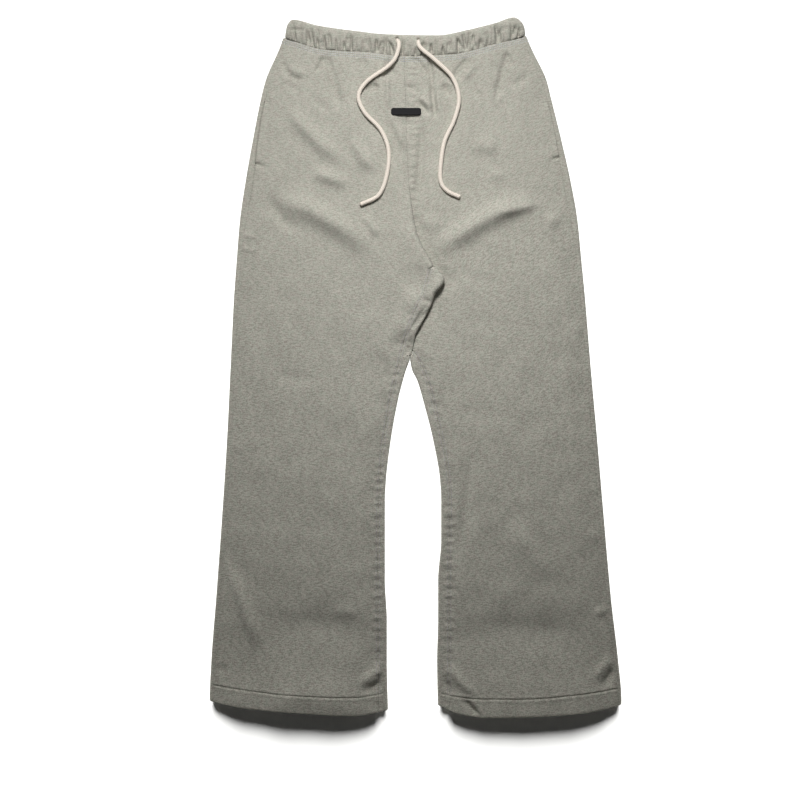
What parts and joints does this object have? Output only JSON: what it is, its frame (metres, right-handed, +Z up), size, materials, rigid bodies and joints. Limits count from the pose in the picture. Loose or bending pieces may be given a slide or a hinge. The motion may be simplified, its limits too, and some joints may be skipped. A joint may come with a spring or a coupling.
{
  "type": "flared sweatpants",
  "caption": "Flared fleece sweatpants laid flat with the front up: gathered waistband with drawcord ends, side-seam pockets, turned hems.",
  "frame": {"origin": "middle of the bottom of the laid garment's box, on the surface it rests on", "axes": "+Y from the hems to the waist, +X to the right as seen from above, +Z up from the surface it rests on"},
  "size_m": [0.6328, 1.072, 0.0225],
  "materials": {
    "fleece": "heathered grey-green brushed fleece, matt",
    "cotton_cord": "cream braided cotton, matt",
    "rubber": "near-black matt rubber, bare"
  },
  "bodies": {
    "root": {"front_left": "fleece", "front_right": "fleece", "back_left": "fleece", "back_right": "fleece", "waistband": "fleece", "pocket_edge_left": "fleece", "pocket_edge_right": "fleece", "drawcord_left": "cotton_cord", "drawcord_right": "cotton_cord", "label_bar": "rubber"}
  },
  "joints": []
}
